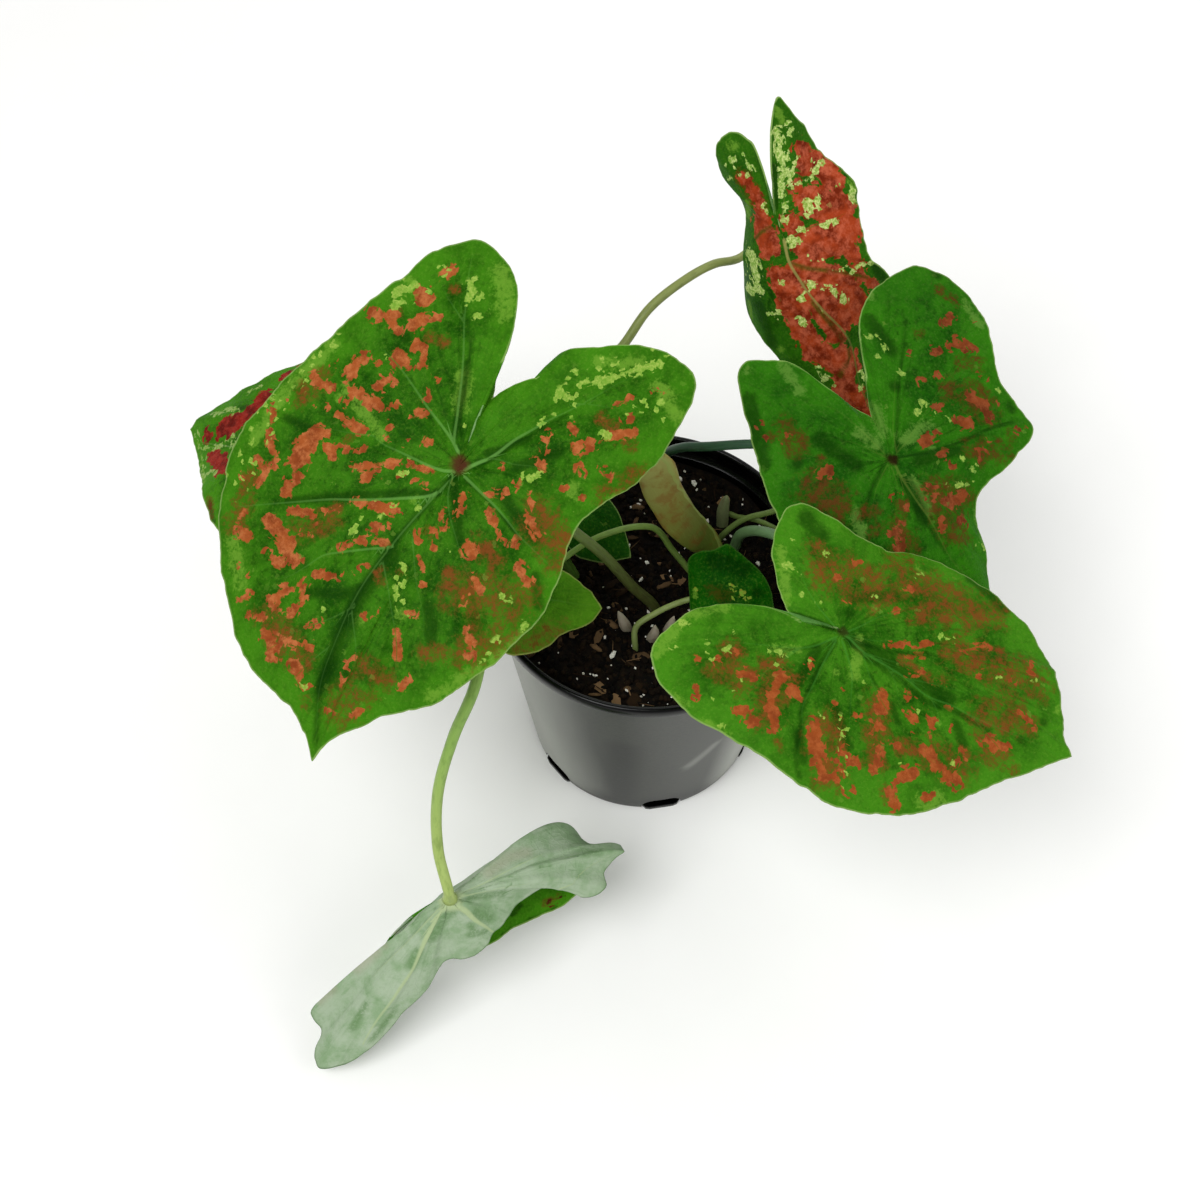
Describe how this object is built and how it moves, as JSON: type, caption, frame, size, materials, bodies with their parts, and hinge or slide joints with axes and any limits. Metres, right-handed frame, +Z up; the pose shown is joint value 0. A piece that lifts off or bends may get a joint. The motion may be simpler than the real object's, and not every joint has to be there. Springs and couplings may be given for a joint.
{
  "type": "potted caladium plant",
  "caption": "Potted caladium: broad heart-shaped leaves on long arching petioles rise from a tuber in peat mix, in a round tapered nursery pot with a rolled lip.",
  "frame": {"origin": "centre of the pot's underside, on the plane it rests on", "axes": "+Z up along the pot's axis, +X to the plant's right as seen from the front, +Y to its back"},
  "size_m": [0.2854, 0.252, 0.2029],
  "materials": {
    "pot": "satin",
    "soil": "rough",
    "tuber": "rough",
    "leaf": "satin",
    "leaf_red": "satin",
    "leaf_pale": "matte",
    "petiole": "satin",
    "sprout": "satin"
  },
  "bodies": {
    "root": {"pot": "pot", "soil": "soil", "tuber": "tuber", "leaf_left_front": "leaf", "leaf_right_front": "leaf", "leaf_right_back": "leaf", "leaf_back": "leaf_red", "leaf_left_back": "leaf_red", "leaf_drooping": "leaf_pale", "leaf_small_right": "leaf", "leaf_small_left": "leaf", "leaf_shaded_left": "leaf", "leaf_shaded_right_back": "leaf", "leaf_shaded_right_front": "leaf", "petiole_left_front": "petiole", "petiole_right_front": "petiole", "petiole_right_back": "petiole", "petiole_back": "petiole", "petiole_left_back": "petiole", "petiole_drooping": "petiole", "petiole_small_right": "petiole", "petiole_small_left": "petiole", "petiole_shaded_left": "petiole", "petiole_shaded_right_back": "petiole", "petiole_shaded_right_front": "petiole", "furled_leaf": "petiole", "sprout_back": "sprout", "sprout_front_left": "sprout", "sprout_front": "sprout", "sprout_front_right": "sprout"}
  },
  "joints": []
}
